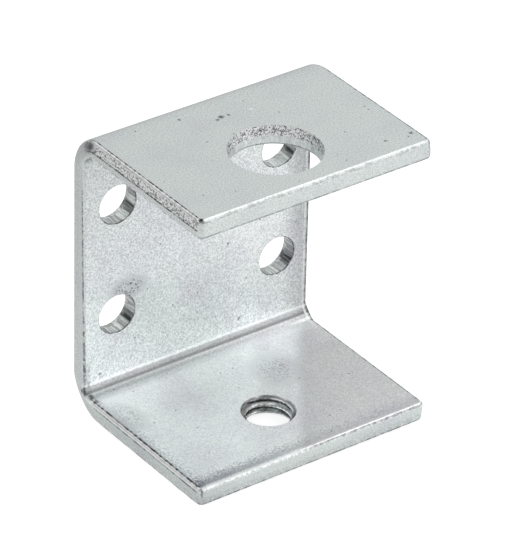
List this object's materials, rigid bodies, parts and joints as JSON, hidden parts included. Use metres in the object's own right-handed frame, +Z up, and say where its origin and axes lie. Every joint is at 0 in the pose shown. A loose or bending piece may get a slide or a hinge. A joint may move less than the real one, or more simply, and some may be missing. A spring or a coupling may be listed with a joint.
{
  "type": "double angle bracket",
  "caption": "U-shaped folded steel bracket with screw holes in its web, a clearance hole in the upper flange and a threaded hole on the same axis in the lower flange.",
  "frame": {"origin": "middle of the rectangle that the bracket covers, on the plane that its lower flange rests on", "axes": "+Z up, from the lower flange to the upper one; +Y out of the web's back face; X along the fold lines"},
  "size_m": [0.0404, 0.032, 0.0465],
  "materials": {
    "zinc_plated_steel": "bright zinc plating with a fine satin grain"
  },
  "bodies": {
    "root": {"bracket": "zinc_plated_steel"}
  },
  "joints": []
}
